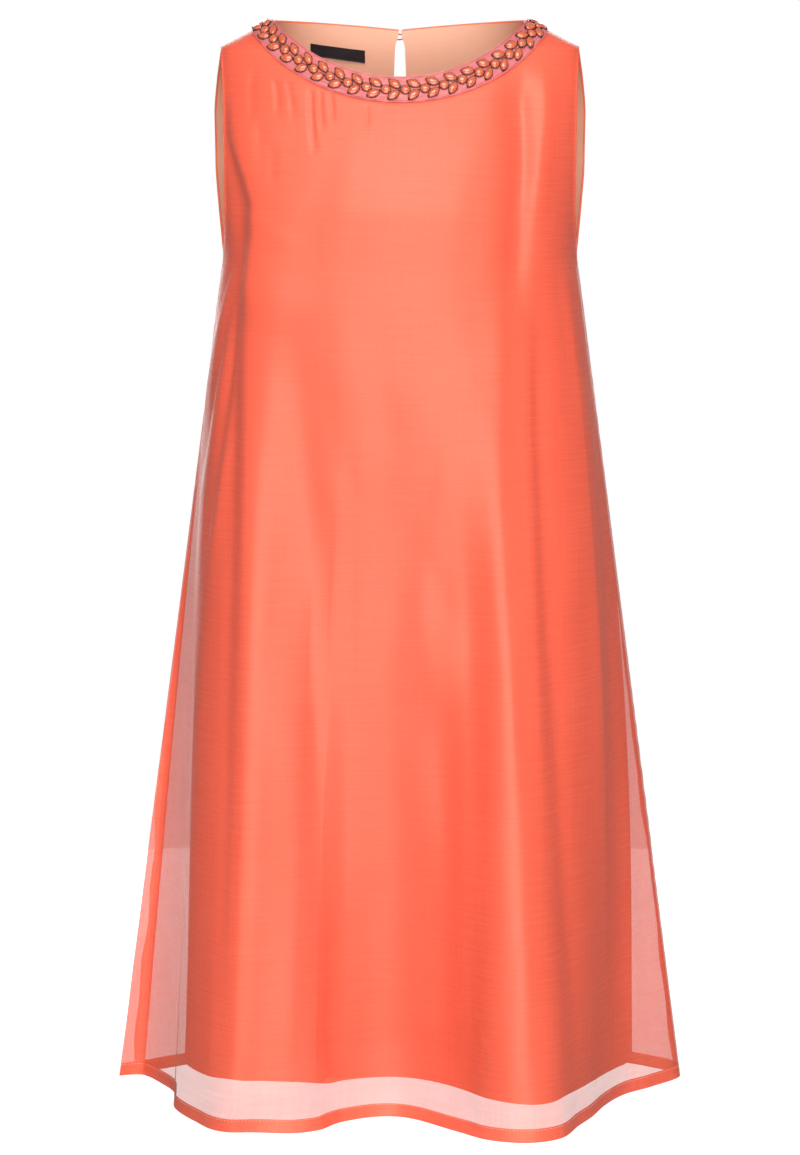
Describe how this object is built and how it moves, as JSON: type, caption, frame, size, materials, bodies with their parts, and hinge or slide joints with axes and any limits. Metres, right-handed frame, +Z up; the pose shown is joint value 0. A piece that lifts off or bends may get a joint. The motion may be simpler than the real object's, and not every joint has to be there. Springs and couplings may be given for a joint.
{
  "type": "a-line dress",
  "caption": "Sleeveless A-line dress in sheer voile over a shorter lining, with a jewelled neckline tape and a keyhole at the back neck, in the hollow form it has when worn.",
  "frame": {"origin": "midway between the middles of the two shoulder seams, where the wearer's shoulders hold the dress up", "axes": "+Z up the wearer, -Y the way the front faces, +X on the right of someone who looks at the front"},
  "size_m": [0.5059, 0.3378, 0.9406],
  "materials": {
    "voile": "sheer changeant coral voile with a satin sheen",
    "lining": "smooth apricot lining",
    "trim": "dusty rose mesh tape with glossy coral stones in dark settings",
    "label": "plain black woven satin",
    "button": "clear pearly plastic",
    "thread": "matt red thread"
  },
  "bodies": {
    "root": {"outer_front": "voile", "outer_back": "voile", "lining_front": "lining", "lining_back": "lining", "neck_trim": "trim", "label": "label", "button": "button", "loop": "thread"}
  },
  "joints": []
}
